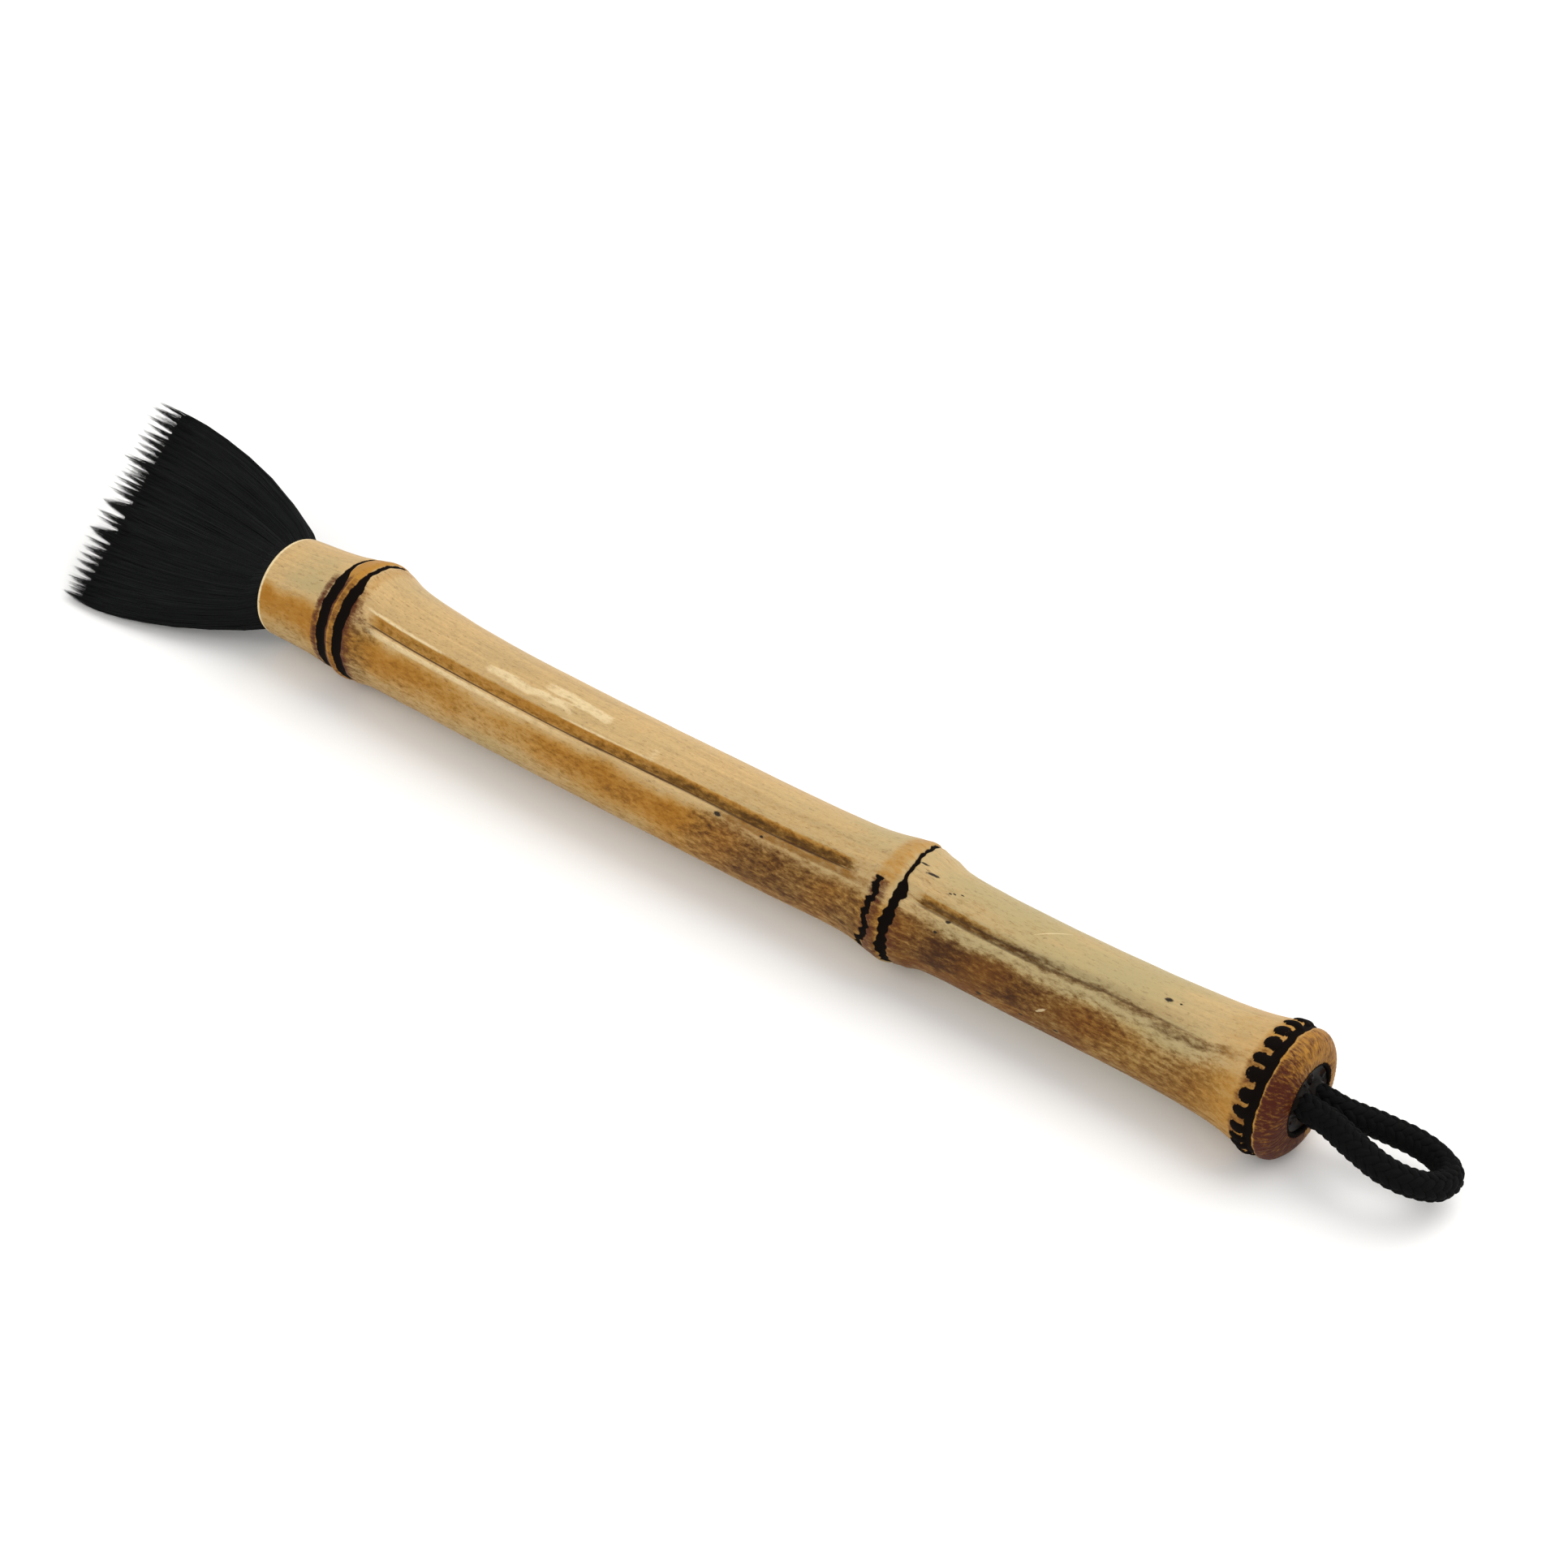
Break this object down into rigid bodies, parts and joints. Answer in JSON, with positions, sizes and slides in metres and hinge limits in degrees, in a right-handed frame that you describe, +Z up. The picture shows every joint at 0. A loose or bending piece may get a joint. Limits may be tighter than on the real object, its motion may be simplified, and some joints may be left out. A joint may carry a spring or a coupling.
{
  "type": "calligraphy brush",
  "caption": "Flat fan-shaped hair brush set in a bamboo root-end handle with a braided cord hanging loop, lying on its side.",
  "frame": {"origin": "on the table that the brush lies on, under the middle of the brush's box without its cord loop", "axes": "+X along the handle from the hair to the butt, +Z up from the table"},
  "size_m": [0.2528, 0.0326, 0.0191],
  "materials": {
    "scorched_bamboo": "sealed natural bamboo skin with scorched nodes, satin",
    "black_hair": "straight black horse hair, soft sheen",
    "linen_thread": "waxed twisted thread",
    "burnt_rosin": "melted rosin, glossy",
    "amber_glue": "hard amber glue",
    "dark_resin": "poured dark resin with small bubbles, glossy",
    "braided_cord": "tightly braided black cord"
  },
  "bodies": {
    "handle": {"bamboo_culm": "scorched_bamboo", "hair_root": "black_hair", "root_binding_thread": "linen_thread", "rosin_seal": "burnt_rosin", "socket_glue": "amber_glue", "butt_resin": "dark_resin", "cord_tails": "braided_cord"},
    "tuft": {"hair_core": "black_hair", "mantle_hair_front": "black_hair", "mantle_hair_back": "black_hair"},
    "loop": {"hanging_loop": "braided_cord"}
  },
  "joints": [
    {"name": "tuft_flex", "type": "hinge", "parent": "handle", "child": "tuft", "pos_m": [-0.0691, 0, 0.0096], "axis": [0, 0.8712, 0.4909], "range_deg": [-30, 30], "stiffness_Nm_per_rad": 0.05},
    {"name": "loop_flex", "type": "hinge", "parent": "handle", "child": "loop", "pos_m": [0.1158, -0.0017, 0.0096], "axis": [0, 0.9511, -0.309], "range_deg": [-30, 30], "stiffness_Nm_per_rad": 0.004}
  ]
}
